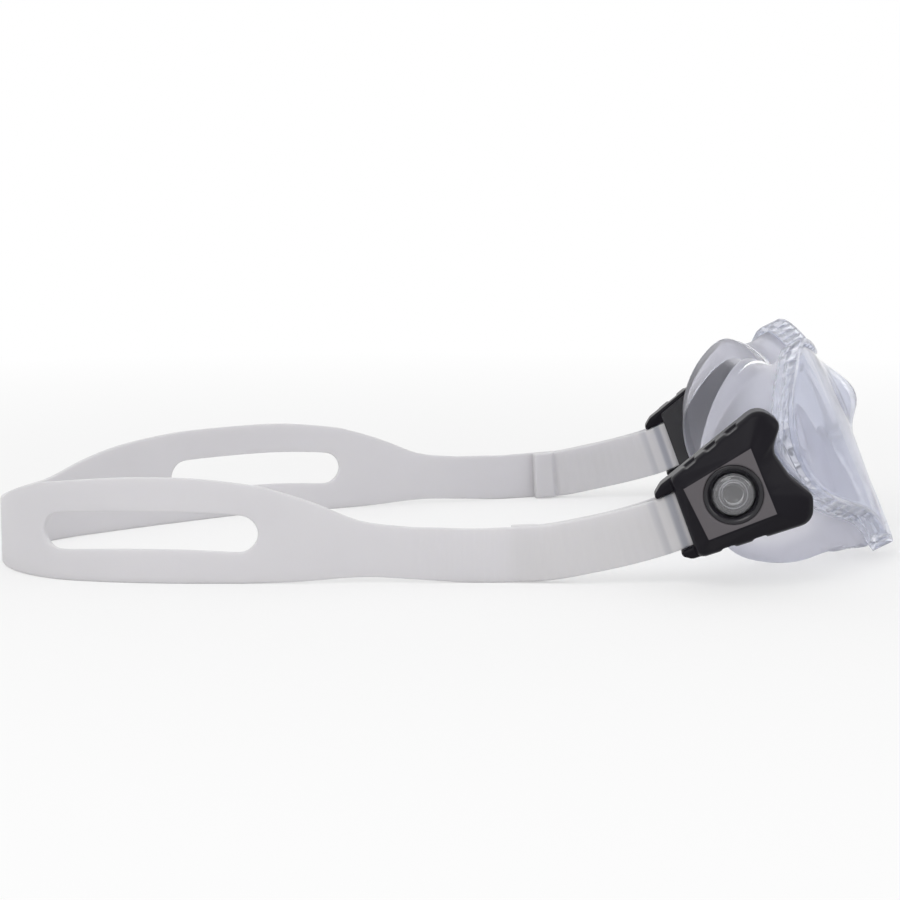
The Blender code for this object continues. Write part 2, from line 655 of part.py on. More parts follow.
def build_base(side_name, side, finish, parent):
    """Inner plate with a notch for the frame's lug and two ears that carry the pins."""
    outline = inset(rounded(SHELL_OUTLINE), BASE_INSET)
    base = mesh_object(side_name + "_buckle_base", prism(outline, BASE_IN, BASE_OUT, side), finish, parent)
    lug_room = inset(rounded(LUG_OUTLINE), -GAP)
    boolean(base, prism(lug_room, BASE_IN - 1 * MM, BASE_OUT + 1 * MM, side), "DIFFERENCE", side_name + "_lug_room")
    beyond = max(point.length for point in outline) + 1 * MM
    front = box_outline(BASE_FRONT_U, beyond, -beyond, beyond)
    boolean(base, prism(front, BASE_IN - 1 * MM, BASE_OUT + 1 * MM, side), "DIFFERENCE", side_name + "_base_front")
    for index, up in enumerate((-1, 1)):
        low = STRAP_OFFSET + up * EAR_INNER
        high = STRAP_OFFSET + up * EAR_OUTER
        ear = box_outline(EAR_REAR_U, EAR_FRONT_U, min(low, high), max(low, high))
        boolean(base, prism(ear, BASE_IN + 0.4 * MM, PAWL_MID + PAWL_BARREL, side), "UNION",
                "{}_ear_{}".format(side_name, index))
    reach = EAR_OUTER + 2 * MM
    for hole, u, out in (("roller", ROLLER_U, ROLLER_MID), ("pawl", PAWL_U, PAWL_MID)):
        cutter = bar(PIN_BORE, PIN_SIDES, u, out, STRAP_OFFSET - reach, STRAP_OFFSET + reach, side)
        boolean(base, cutter, "DIFFERENCE", "{}_{}_hole".format(side_name, hole))
    return base


def build_pawl(side_name, side, finish, parent):
    """Rocker plate: teeth over the strap behind the pin, and a pad under the button's stem ahead of it."""
    low_w = STRAP_OFFSET - PAWL_HALF_WIDTH
    high_w = STRAP_OFFSET + PAWL_HALF_WIDTH
    tip = RIB_TOP + GAP
    profile = [(PAWL_REAR_U, PAWL_OUT)]
    for index in range(TOOTH_COUNT):
        start = PAWL_REAR_U + index * TOOTH_LENGTH
        profile += [(start, PAWL_IN), (start + 0.1 * TOOTH_LENGTH, tip), (start + 0.8 * TOOTH_LENGTH, PAWL_IN)]
    profile += [(PAWL_FRONT_U, PAWL_IN), (PAWL_FRONT_U, PAWL_OUT), (PAWL_PAD_U, PAWL_OUT),
                (PAWL_PAD_U, PAWL_OUT - PAWL_STEP), (PAWL_U + PAWL_BARREL, PAWL_OUT - PAWL_STEP),
                (PAWL_U + PAWL_BARREL, PAWL_OUT)]
    bm = bmesh.new()
    loft(bm, [[(u, side * out, w) for u, out in profile] for w in (low_w, high_w)])
    axis = (PAWL_U, side * PAWL_MID, STRAP_OFFSET)
    pawl = mesh_object(side_name + "_pawl", bm, finish, parent, axis)
    barrel = bar(PAWL_BARREL, PIN_SIDES, PAWL_U, PAWL_MID, low_w - 0.8 * MM, high_w + 0.8 * MM, side)
    boolean(pawl, barrel, "UNION", side_name + "_pawl_barrel")
    bore = bar(PIN_BORE, PIN_SIDES, PAWL_U, PAWL_MID, low_w - 2 * MM, high_w + 2 * MM, side)
    boolean(pawl, bore, "DIFFERENCE", side_name + "_pawl_bore")
    return pawl


def build_button(side_name, side, finish, parent):
    """Clear cap with a crowned top, hollow round its stem."""
    inner = BUTTON_RADIUS - BUTTON_WALL
    profile = [(0.25 * BUTTON_RADIUS, BUTTON_FACE), (0.7 * BUTTON_RADIUS, BUTTON_FACE - 0.3 * BUTTON_CROWN),
               (0.94 * BUTTON_RADIUS, BUTTON_FACE - BUTTON_CROWN), (BUTTON_RADIUS, BUTTON_FACE - 1.5 * BUTTON_CROWN),
               (BUTTON_RADIUS, BUTTON_RIM), (inner, BUTTON_RIM), (inner, BUTTON_UNDER), (STEM_RADIUS, BUTTON_UNDER),
               (STEM_RADIUS, STEM_END)]
    return mesh_object(side_name + "_button", turned(profile, side), finish, parent, (0.0, side * FACE, 0.0))


def build_bezel(side_name, side, finish, parent):
    """Ring with a funnel round the button, and the cup that the spring stands in."""
    lip_out = FACE + BEZEL_PROUD
    profile = [(BEZEL_RADIUS, BEZEL_SEAT), (BEZEL_RADIUS, lip_out - 0.2 * MM), (BEZEL_RADIUS - 0.3 * MM, lip_out),
               (BEZEL_RADIUS - 0.7 * MM, lip_out), (BEZEL_BORE, lip_out - BEZEL_FUNNEL), (BEZEL_BORE, CUP_FLOOR),
               (STEM_BORE, CUP_FLOOR), (STEM_BORE, CUP_IN), (CUP_RADIUS, CUP_IN), (CUP_RADIUS, BEZEL_SEAT),
               (BEZEL_RADIUS, BEZEL_SEAT)]
    return mesh_object(side_name + "_button_bezel", turned(profile, side), finish, parent)


def build_spring(side_name, side, finish, parent):
    curve = bpy.data.curves.new(side_name + "_button_spring", "CURVE")
    curve.dimensions = "3D"
    curve.bevel_depth = SPRING_WIRE
    curve.bevel_resolution = 1
    curve.use_fill_caps = True
    curve.materials.append(material(curve.name, *finish))
    count = SPRING_TURNS * SPRING_POINTS + 1
    points = []
    for index in range(count):
        angle = 2 * math.pi * index / SPRING_POINTS
        out = SPRING_IN + SPRING_WIRE + SPRING_PITCH * index / SPRING_POINTS
        points.append(Vector((SPRING_RADIUS * math.cos(angle), side * out, SPRING_RADIUS * math.sin(angle))))
    spline = curve.splines.new("POLY")
    spline.points.add(count - 1)
    for knot, point in zip(spline.points, points):
        knot.co = (*point, 1.0)
    least = min((points[a] - points[b]).length for a in range(count) for b in range(a + SPRING_POINTS // 2, count))
    print("{} spring: least gap between its turns {:.2f} mm".format(side_name, (least - 2 * SPRING_WIRE) / MM))
    made = bpy.data.objects.new(side_name + "_button_spring", curve)
    made.parent = parent
    bpy.context.collection.objects.link(made)
    return made


def build_buckle(side_name, side, parent):
    build_shell(side_name, side, BUCKLE_FINISH, parent)
    build_base(side_name, side, INSIDE_FINISH, parent)
    build_bezel(side_name, side, BUCKLE_FINISH, parent)
    build_button(side_name, side, BUTTON_FINISH, parent)
    build_spring(side_name, side, STEEL_FINISH, parent)
    build_pawl(side_name, side, INSIDE_FINISH, parent)
    low = STRAP_OFFSET - EAR_OUTER
    high = STRAP_OFFSET + EAR_OUTER
    pin = bar(PIN_RADIUS, PIN_SIDES, PAWL_U, PAWL_MID, low, high, side)
    mesh_object(side_name + "_pawl_pin", pin, STEEL_FINISH, parent)
    pin = bar(PIN_RADIUS, PIN_SIDES, ROLLER_U, ROLLER_MID, low, high, side)
    mesh_object(side_name + "_roller_pin", pin, STEEL_FINISH, parent)
    roller = bar(ROLLER_RADIUS, PIN_SIDES, ROLLER_U, ROLLER_MID, STRAP_OFFSET - EAR_INNER + GAP,
                 STRAP_OFFSET + EAR_INNER - GAP, side, PIN_BORE)
    mesh_object(side_name + "_strap_roller", roller, INSIDE_FINISH, parent, (ROLLER_U, side * ROLLER_MID, STRAP_OFFSET))


class StrapPlace:
    """One place along the strap: its middle, the way its ribbed face looks, the way up its width, and its sizes."""

    def __init__(self, middle, face, up, half_height, rise=0.0, slot=None):
        self.middle, self.face, self.up = middle, face, up
        self.half_height = half_height
        self.rise = rise
        self.slot = slot

    def point(self, height, depth):
        return self.middle + self.up * height + self.face * depth


def pose_point(u, v, w):
    """A point of the goggles' frame, as it lies on the table."""
    return Vector((u * math.cos(PITCH) - w * math.sin(PITCH), v,
                   BUTTON_HEIGHT + u * math.sin(PITCH) + w * math.cos(PITCH)))


def strap_line():
    """Plan of the strap's middle from the right mouth to the left, with the distance along it."""
    starts = [pose_point(u, 0.0, STRAP_OFFSET).x for u in (ROLLER_U, MOUTH_U, PRONG_TOP[2][0] * MM)]
    right = [Vector((x, -RUN_MID)) for x in starts]
    left = [Vector((x, RUN_MID)) for x in reversed(starts)]
    knots = right + [Vector((x, y * width_share())) * MM for x, y in STRAP_ROUTE] + left
    line = []
    for index in range(1, len(knots) - 2):
        for step in range(24):
            line.append(catmull(knots[index - 1], knots[index], knots[index + 1], knots[index + 2], step / 24))
    line.append(knots[-2])
    along = [0.0]
    for here, there in zip(line, line[1:]):
        along.append(along[-1] + (there - here).length)
    return line, along


def strap_stops(length):
    """Distances along the run where the strap has a section: even steps, ribs, and the slots' ends."""
    stops = set()
    steps = math.ceil(length / STRAP_STEP)
    stops.update(round(length * step / steps, 6) for step in range(steps + 1))
    ribs = int(RIBBED_RUN / RIB_PITCH)
    for rib in range(2 * ribs + 1):
        stops.add(round(rib * RIB_PITCH / 2, 6))
        stops.add(round(length - rib * RIB_PITCH / 2, 6))
    near = [stop for stop in stops if RIBBED_RUN + RIB_PITCH < stop < length - RIBBED_RUN - RIB_PITCH]
    ribbed = {round(rib * RIB_PITCH / 2, 6) for rib in range(2 * ribs + 1)}
    ribbed |= {round(length - stop, 6) for stop in ribbed}
    slots = set()
    for start, end in strap_slots(length):
        for reach in (0.0, 0.5, 1.6, 3.2, 5.0):
            slots.add(round(start + reach * MM, 6))
            slots.add(round(end - reach * MM, 6))
    near = [stop for stop in near if all(abs(stop - slot) > 1.2 * MM for slot in slots)]
    return sorted(ribbed | slots | set(near))


def strap_slots(length):
    end = SLOT_FROM_MOUTH + SLOT_LENGTH
    return ((SLOT_FROM_MOUTH, end), (length - end, length - SLOT_FROM_MOUTH))


def strap_half_height(distance, length):
    """Half the strap's width at a distance from the right mouth: narrow at the necks and at the middle of the back."""
    neck = table_value(NECK_HALF_HEIGHTS, min(distance, length - distance))
    pad = table_value(PAD_HALF_HEIGHTS, abs(distance - length / 2 - PAD_OFFSET))
    return min(neck, pad)


def slot_opening(distance, length):
    """Half height of the slot at a distance along the strap, or None where there is no slot."""
    for start, end in strap_slots(length):
        if start - 1e-6 <= distance <= end + 1e-6:
            reach = min(distance - start, end - distance)
            if reach >= SLOT_HALF_HEIGHT:
                return SLOT_HALF_HEIGHT
            share = 1 - max(0.0, reach) / SLOT_HALF_HEIGHT
            return max(SLOT_TIP, SLOT_HALF_HEIGHT * math.sqrt(max(0.0, 1 - share * share)))
    return None


def strap_run():
    """The strap's places from the right buckle's mouth, round the back, to the left buckle's mouth."""
    line, along = strap_line()
    length = along[-1]
    mouth_z = pose_point(MOUTH_U, 0.0, STRAP_OFFSET).z
    first_lift = mouth_z - table_value(NECK_HALF_HEIGHTS, 0.0)
    lifts = ((0.0, first_lift / MM),) + STRAP_LIFTS

    def middle(distance):
        distance = min(max(distance, 0.0), length)
        index = next(i for i in range(len(line) - 1) if along[i + 1] >= distance - 1e-9)
        share = (distance - along[index]) / (along[index + 1] - along[index])
        flat = line[index].lerp(line[index + 1], share)
        reach = min(distance, length - distance)
        height = strap_half_height(distance, length) + table_value(lifts, reach)
        return Vector((flat.x, flat.y, height))

    places = []
    for stop in strap_stops(length):
        step = 0.8 * MM
        ahead = (middle(stop + step) - middle(stop - step)).normalized()
        if stop < step or stop > length - step:
            turn = -1 if stop < step else 1
            ahead = Vector((turn * math.cos(PITCH), 0.0, turn * math.sin(PITCH)))
        face = Vector((ahead.y, -ahead.x, 0.0)).normalized() * -1
        up = face.cross(ahead).normalized()
        if up.z < 0:
            up = -up
        reach = min(stop, length - stop)
        rib = round(reach / (RIB_PITCH / 2))
        ribbed = reach <= RIBBED_RUN and abs(reach - rib * RIB_PITCH / 2) < 1e-5 and rib % 2 == 1
        places.append(StrapPlace(middle(stop), face, up, strap_half_height(stop, length),
                                 RIB_HEIGHT if ribbed else 0.0, slot_opening(stop, length)))
    return places, length


def strap_fold(side):
    """The strap's places inside a buckle, from its mouth round the roller and back to the mouth on the inner side."""
    up = Vector((-math.sin(PITCH), 0.0, math.cos(PITCH)))
    outward = Vector((0.0, side, 0.0))
    forward = Vector((math.cos(PITCH), 0.0, math.sin(PITCH)))
    half_height = table_value(NECK_HALF_HEIGHTS, 0.0)
    turn_radius = RUN_MID - ROLLER_MID
    axis = pose_point(ROLLER_U, side * ROLLER_MID, STRAP_OFFSET)
    places = []
    for step in range(9):
        angle = math.pi * step / 8
        face = outward * math.cos(angle) + forward * math.sin(angle)
        places.append(StrapPlace(axis + face * turn_radius, face, up, half_height))
    return places


def strap_tail(run):
    """The tail's places, from the mouth along the inner side of the run to its thick tab."""
    places = []
    previous = run[0].middle
    travelled = 0.0
    tab_start = TAIL_LENGTH - TAB_LENGTH
    for place in run:
        travelled += (place.middle - previous).length
        previous = place.middle
        if travelled > TAIL_LENGTH:
            break
        share = min(1.0, travelled / (0.5 * TAIL_LENGTH))
        ease = share * share * (3 - 2 * share)
        apart = (RUN_MID - TAIL_MID) * (1 - ease) + (STRAP_THICKNESS + TAIL_LIE) * ease
        rise = place.rise
        if travelled > tab_start - RIB_PITCH:
            rise = TAB_RISE if travelled > tab_start else 0.0
        places.append(StrapPlace(place.middle - place.face * apart, -place.face, place.up, place.half_height, rise))
    return places


def build_strap(finish, parent):
    """One ribbon through every place: a flat grid of rows, the slots left out, given its thickness as it is laid."""
    run, length = strap_run()
    right_tail = strap_tail(run)
    left_tail = strap_tail(run[::-1])
    places = right_tail[::-1] + strap_fold(-1)[::-1] + run + strap_fold(1) + left_tail
    print("strap: {:.0f} mm from mouth to mouth".format(length / MM))
    bm = bmesh.new()
    grid = []
    for place in places:
        heights = [-place.half_height, place.half_height]
        if place.slot is not None:
            heights[1:1] = [-place.slot, place.slot]
        depths = (-STRAP_THICKNESS / 2, STRAP_THICKNESS / 2 + place.rise)
        grid.append([[bm.verts.new(place.point(height, depth)) for height in heights] for depth in depths])
    for here, there in zip(grid, grid[1:]):
        slotted = len(here[0]) == 4 and len(there[0]) == 4
        for inner, outer in ((0, 1), (2, 3)) if slotted else ((0, -1),):
            for layer in (0, 1):
                rows = slice(inner, outer + 1 if slotted else None)
                bm.faces.new(here[layer][rows] + there[layer][rows][::-1])
            for row in (inner, outer):
                bm.faces.new((here[0][row], there[0][row], there[1][row], here[1][row]))
    for before, here in zip(grid, grid[1:]):
        if len(before[0]) != len(here[0]):
            edge = here if len(here[0]) == 4 else before
            bm.faces.new((edge[0][1], edge[0][2], edge[1][2], edge[1][1]))
    for end in (grid[0], grid[-1]):
        bm.faces.new((end[0][0], end[0][1], end[1][1], end[1][0]))
    return mesh_object("strap", bm, finish, parent)


def world_bounds():
    bpy.context.view_layer.update()
    graph = bpy.context.evaluated_depsgraph_get()
    low = Vector((math.inf,) * 3)
    high = Vector((-math.inf,) * 3)
    for item in bpy.context.scene.objects:
        if item.hide_render or item.type not in {"MESH", "CURVE"}:
            continue
        shaped = item.evaluated_get(graph)
        mesh = shaped.to_mesh()
        for vert in mesh.vertices:
            place = shaped.matrix_world @ vert.co
            low = Vector(map(min, low, place))
            high = Vector(map(max, high, place))
        shaped.to_mesh_clear()
    return low, high


def main():
    clear_scene()
    table = empty("goggles_place", (0.0, 0.0, 0.0))
    pose = empty("goggles_pose", (0.0, 0.0, BUTTON_HEIGHT), (0.0, -PITCH, 0.0), table)
    stations = rim_stations()
    build_frame(stations, FRAME_FINISH, pose)
    build_lens(stations, LENS_FINISH, pose)
    build_skirt(stations, SKIRT_FINISH, pose)
    for side_name, side in SIDES:
        build_buckle(side_name, side, pose)
    build_strap(STRAP_FINISH, table)
    low, high = world_bounds()
    table.location = (-(low.x + high.x) / 2, -(low.y + high.y) / 2, -low.z)
    bpy.context.view_layer.update()
    print("size: {:.1f} x {:.1f} x {:.1f} mm".format(*((high - low) / MM)))
    for side_name, side in SIDES:
        for joint, u, out in (("button", 0.0, FACE), ("pawl", PAWL_U, PAWL_MID), ("roller", ROLLER_U, ROLLER_MID)):
            place = pose.matrix_world @ Vector((u, side * out, 0.0 if joint == "button" else STRAP_OFFSET))
            print("{}_{} at {:.5f} {:.5f} {:.5f}".format(side_name, joint, *place))


main()
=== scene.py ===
# %% [markdown]
# Swim goggles, dressed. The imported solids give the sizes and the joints. This lesson keeps the hidden
# works of the buckles as they are, lays softer and finer pieces over what shows, and gives each piece
# its finish.

# %% Load the solids
import math

import bmesh
import bpy
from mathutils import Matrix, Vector


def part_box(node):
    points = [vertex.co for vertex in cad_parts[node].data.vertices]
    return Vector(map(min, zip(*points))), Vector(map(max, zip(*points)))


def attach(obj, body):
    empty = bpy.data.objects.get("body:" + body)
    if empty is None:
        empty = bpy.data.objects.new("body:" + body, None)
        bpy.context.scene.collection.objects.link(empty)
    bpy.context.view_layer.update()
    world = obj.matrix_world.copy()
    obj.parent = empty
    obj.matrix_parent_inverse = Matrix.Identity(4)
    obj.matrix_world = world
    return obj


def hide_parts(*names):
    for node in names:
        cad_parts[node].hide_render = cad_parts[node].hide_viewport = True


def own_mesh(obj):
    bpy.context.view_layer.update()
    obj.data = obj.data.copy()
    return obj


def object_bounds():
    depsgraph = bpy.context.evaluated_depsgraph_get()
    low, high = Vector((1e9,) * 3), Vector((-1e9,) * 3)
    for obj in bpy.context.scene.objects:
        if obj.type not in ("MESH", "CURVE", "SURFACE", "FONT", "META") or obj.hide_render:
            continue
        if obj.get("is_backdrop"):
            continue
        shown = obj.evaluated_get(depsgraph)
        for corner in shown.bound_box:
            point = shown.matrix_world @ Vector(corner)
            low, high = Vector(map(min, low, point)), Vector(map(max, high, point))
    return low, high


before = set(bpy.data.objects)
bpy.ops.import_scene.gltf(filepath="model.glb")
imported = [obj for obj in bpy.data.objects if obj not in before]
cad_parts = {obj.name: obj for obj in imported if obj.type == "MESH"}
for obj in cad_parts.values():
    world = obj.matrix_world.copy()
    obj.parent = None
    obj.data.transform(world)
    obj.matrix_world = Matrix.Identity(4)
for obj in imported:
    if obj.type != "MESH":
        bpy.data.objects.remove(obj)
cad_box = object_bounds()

MM = 0.001
SIDES = (("right", -1), ("left", 1))
scene = bpy.context.scene

# %% [markdown]
# The camera comes first, because every choice after it is judged through it. A photograph gives a
# direction and a focal length in pixels, so the lens is worked out from those and a sensor width. The
# camera then stands back from its target along that direction, which needs no tracking constraint.

# %% Camera
PICTURE = 900
SENSOR = 36.0
FOCAL_PIXELS = 2236.0
CAMERA_TURN = math.radians(4.0)
CAMERA_RISE = math.radians(7.5)
CAMERA_DISTANCE = 640 * MM
CAMERA_NEAREST = 10 * MM
CAMERA_TARGET = Vector((-2.2, 0.0, 24.2)) * MM

level = math.cos(CAMERA_RISE)
towards = Vector((math.sin(CAMERA_TURN) * level, -math.cos(CAMERA_TURN) * level, math.sin(CAMERA_RISE)))
camera_data = bpy.data.cameras.new("camera")
camera_data.sensor_width = SENSOR
camera_data.lens = FOCAL_PIXELS * SENSOR / PICTURE
camera_data.clip_start = CAMERA_NEAREST
camera = bpy.data.objects.new("camera", camera_data)
camera.location = CAMERA_TARGET + towards * CAMERA_DISTANCE
camera.rotation_euler = (-towards).to_track_quat("-Z", "Y").to_euler()
scene.collection.objects.link(camera)
scene.camera = camera
scene.view_settings.view_transform = "Standard"
print("camera lens: {:.2f} mm".format(camera_data.lens))

# %% [markdown]
# An effect that several finishes share is a node group. This one clouds a colour between two tones,
# varies the roughness with a fine grain, and puts out a height for a bump. Moulded rubber and plastic
# are never quite even, and a slow cloud with a fine grain on top of it says so without being seen as
# a pattern.

# %% Clouds, shared by every finish
CLOUD_DETAIL = 3.0
GRAIN_DETAIL = 1.0
CLOUD_SHARE_OF_HEIGHT = 3.0


def open_group(name, inputs, outputs):
    """A new node group with its sockets, its entry and its exit."""
    group = bpy.data.node_groups.new(name, "ShaderNodeTree")
    for way, sockets in (("INPUT", inputs), ("OUTPUT", outputs)):
        for socket, kind in sockets.items():
            group.interface.new_socket(socket, in_out=way, socket_type="NodeSocket" + kind)
    return group, group.nodes.new("NodeGroupInput"), group.nodes.new("NodeGroupOutput")


def cloud_group():
    """The shared clouds: a colour, a roughness and a height from one place on the object."""
    group, entry, leave = open_group(
        "moulded_cloud",
        {"Vector": "Vector", "Cloud Scale": "Float", "Grain Scale": "Float", "Light": "Color",
         "Dark": "Color", "Smooth": "Float", "Rough": "Float"},
        {"Color": "Color", "Roughness": "Float", "Height": "Float"})
    nodes, links = group.nodes, group.links
    cloud = nodes.new("ShaderNodeTexNoise")
    grain = nodes.new("ShaderNodeTexNoise")
    grain.inputs["Detail"].default_value = GRAIN_DETAIL
    cloud.inputs["Detail"].default_value = CLOUD_DETAIL
    links.new(entry.outputs["Vector"], cloud.inputs["Vector"])
    links.new(entry.outputs["Vector"], grain.inputs["Vector"])
    links.new(entry.outputs["Cloud Scale"], cloud.inputs["Scale"])
    links.new(entry.outputs["Grain Scale"], grain.inputs["Scale"])
    tone = nodes.new("ShaderNodeMix")
    tone.data_type = "RGBA"
    links.new(cloud.outputs["Fac"], tone.inputs["Factor"])
    links.new(entry.outputs["Dark"], tone.inputs["A"])
    links.new(entry.outputs["Light"], tone.inputs["B"])
    links.new(tone.outputs["Result"], leave.inputs["Color"])
    gloss = nodes.new("ShaderNodeMix")
    links.new(grain.outputs["Fac"], gloss.inputs["Factor"])
    links.new(entry.outputs["Smooth"], gloss.inputs["A"])
    links.new(entry.outputs["Rough"], gloss.inputs["B"])
    links.new(gloss.outputs["Result"], leave.inputs["Roughness"])
    height = nodes.new("ShaderNodeMath")
    height.operation = "MULTIPLY_ADD"
    height.inputs[1].default_value = CLOUD_SHARE_OF_HEIGHT
    links.new(cloud.outputs["Fac"], height.inputs[0])
    links.new(grain.outputs["Fac"], height.inputs[2])
    links.new(height.outputs["Value"], leave.inputs["Height"])
    return group


CLOUD = cloud_group()
print("group:", CLOUD.name, len(CLOUD.nodes), "nodes")

# %% [markdown]
# Each finish is one Principled shader with the clouds plugged into its colour, its roughness and its
# bump. A function makes them all, so that a finish is only a list of its own values: a light and a
# dark tone, how smooth and how rough it gets, how fine the clouds and the grain are, and any socket
# that sets it apart.

# %% A maker of finishes
BUMP_DEPTH = 0.1 * MM


def finish(name, light, dark, smooth, rough, cloud, grain, bump, **sockets):
    """A Principled finish whose colour, roughness and bump come from the cloud group."""
    made = bpy.data.materials.new(name)
    made.use_nodes = True
    nodes, links = made.node_tree.nodes, made.node_tree.links
    shader = nodes["Principled BSDF"]
    place = nodes.new("ShaderNodeTexCoord")
    cloudy = nodes.new("ShaderNodeGroup")
    cloudy.node_tree = CLOUD
    cloudy.name = "cloud"
    for socket, value in (("Cloud Scale", cloud), ("Grain Scale", grain), ("Light", (*light, 1.0)),
                          ("Dark", (*dark, 1.0)), ("Smooth", smooth), ("Rough", rough)):
        cloudy.inputs[socket].default_value = value
    links.new(place.outputs["Object"], cloudy.inputs["Vector"])
    links.new(cloudy.outputs["Color"], shader.inputs["Base Color"])
    links.new(cloudy.outputs["Roughness"], shader.inputs["Roughness"])
    relief = nodes.new("ShaderNodeBump")
    relief.inputs["Strength"].default_value = bump
    relief.inputs["Distance"].default_value = BUMP_DEPTH
    links.new(cloudy.outputs["Height"], relief.inputs["Height"])
    links.new(relief.outputs["Normal"], shader.inputs["Normal"])
    for socket, value in sockets.items():
        shader.inputs[socket.replace("_", " ")].default_value = value
    print("finish:", name)
    return made


# %% [markdown]
# The soft rubber of the strap and the skirt is milky: light goes in, scatters and comes out again.
# The strap is thick and nearly opaque, so it scatters under its surface. The skirt is thinner and
# more of what lies behind it shows, so it lets light through with a rough surface that blurs it.

# %% Soft finishes
strap_rubber = finish(
    "strap_rubber", light=(0.75, 0.735, 0.755), dark=(0.69, 0.68, 0.70), smooth=0.36, rough=0.50,
    cloud=35.0, grain=1800.0, bump=0.12, Subsurface_Weight=0.35,
    Subsurface_Radius=(0.004, 0.004, 0.0045), Subsurface_Scale=1.0, IOR=1.41, Transmission_Weight=0.12)
skirt_rubber = finish(
    "skirt_rubber", light=(0.87, 0.87, 0.91), dark=(0.80, 0.80, 0.85), smooth=0.34, rough=0.48,
    cloud=30.0, grain=1500.0, bump=0.06, Transmission_Weight=0.84, IOR=1.14)

# %% [markdown]
# The clear plastics are real refracting solids, which draws bright and dark lines along their edges,
# and painted shade at grazing angles darkens those edges further. The lens is a thin sheet and the frame
# a thick one, and both bend light less than solid glass would, because a strong bend turns so many small
# cells into glitter. The button is a small thick block and may bend it fully.

# %% Clear finishes
clear_frame = finish(
    "clear_frame", light=(0.93, 0.94, 0.99), dark=(0.87, 0.89, 0.96), smooth=0.06, rough=0.13,
    cloud=45.0, grain=900.0, bump=0.02, Transmission_Weight=0.80, IOR=1.26)
clear_lens = finish(
    "clear_lens", light=(0.84, 0.85, 0.92), dark=(0.78, 0.80, 0.88), smooth=0.04, rough=0.08,
    cloud=25.0, grain=700.0, bump=0.01, Transmission_Weight=0.82, IOR=1.14)
clear_button = finish(
    "clear_button", light=(0.80, 0.80, 0.82), dark=(0.70, 0.70, 0.73), smooth=0.03, rough=0.08,
    cloud=200.0, grain=2500.0, bump=0.03, Transmission_Weight=0.9, IOR=1.50)

# %% [markdown]
# The buckles are black plastic. Under a white sky a black gloss would look grey wherever it faces up,
# so the cover's mirror is turned down and only the bezel, which is round and narrow, keeps a sharp
# one. The works inside are satin, and the pins and springs are bright steel.

# %% Black and steel finishes
black_gloss = finish(
    "black_gloss", light=(0.012, 0.011, 0.015), dark=(0.007, 0.006, 0.009), smooth=0.30, rough=0.40,
    cloud=120.0, grain=2600.0, bump=0.04, Specular_IOR_Level=0.09)
bezel_gloss = finish(
    "bezel_gloss", light=(0.016, 0.015, 0.019), dark=(0.009, 0.008, 0.011), smooth=0.10, rough=0.18,
    cloud=150.0, grain=2600.0, bump=0.03, Specular_IOR_Level=0.40)
black_satin = finish(
    "black_satin", light=(0.026, 0.025, 0.028), dark=(0.016, 0.015, 0.018), smooth=0.36, rough=0.50,
    cloud=150.0, grain=2400.0, bump=0.10)
bright_steel = finish(
    "bright_steel", light=(0.62, 0.62, 0.64), dark=(0.52, 0.52, 0.54), smooth=0.22, rough=0.36,
    cloud=300.0, grain=4000.0, bump=0.05, Metallic=1.0)

# %% [markdown]
# Some marks follow the shape of a piece. They could be painted on a UV map, but a mask worked out
# from the place on the object needs no map: distances along fixed directions, softened at their ends
# and multiplied together. These small helpers each add one node and hand on its output. The goggles
# lie pitched, so their own forward and upward directions are named here too, and the middle of each
# button, which much is set out from.

# %% Helpers for masks
PITCH = math.radians(27.0)
FORWARD = Vector((math.cos(PITCH), 0.0, math.sin(PITCH)))
UPWARD = Vector((-math.sin(PITCH), 0.0, math.cos(PITCH)))
SIDEWAYS = Vector((0.0, 1.0, 0.0))


def button_axis(side_name):
    """The middle of a button, which its panel, bead, coil, bezel and dome are all set out from."""
    low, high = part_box(side_name + "_button")
    return (low + high) / 2


def along(nodes, links, source, direction):
    """Distance of a place along a direction."""
    made = nodes.new("ShaderNodeVectorMath")
    made.operation = "DOT_PRODUCT"
    made.inputs[1].default_value = direction
    links.new(source, made.inputs[0])
    return made.outputs["Value"]


def ramp(nodes, links, source, start, end):
    """Nought below start, one above end, smooth between."""
    made = nodes.new("ShaderNodeMapRange")
    made.interpolation_type = "SMOOTHSTEP"
    made.inputs["From Min"].default_value = start
    made.inputs["From Max"].default_value = end
    links.new(source, made.inputs["Value"])
    return made.outputs["Result"]


def sums(nodes, links, operation, *sources):
    """One Math node over outputs of other nodes and plain numbers."""
    made = nodes.new("ShaderNodeMath")
    made.operation = operation
    for socket, source in zip(made.inputs, sources):
        if isinstance(source, (int, float)):
            socket.default_value = source
        else:
            links.new(source, socket)
    return made.outputs["Value"]


def overlay(coat, group, colour, roughness):
    """Lay a second colour and roughness over a finish where the group's mask is one."""
    nodes, links = coat.node_tree.nodes, coat.node_tree.links
    mask = nodes.new("ShaderNodeGroup")
    mask.node_tree = group
    links.new(nodes["Texture Coordinate"].outputs["Object"], mask.inputs["Vector"])
    for socket, kind, value in (("Base Color", "RGBA", (*colour, 1.0)), ("Roughness", "FLOAT", roughness)):
        target = nodes["Principled BSDF"].inputs[socket]
        mix = nodes.new("ShaderNodeMix")
        mix.data_type = kind
        links.new(mask.outputs["Mask"], mix.inputs["Factor"])
        links.new(target.links[0].from_socket, mix.inputs["A"])
        mix.inputs["B"].default_value = value
        links.new(mix.outputs["Result"], target)
    print("overlay:", group.name, "on", coat.name)


print("right button's middle:", [round(value / MM, 2) for value in button_axis("right")], "mm")
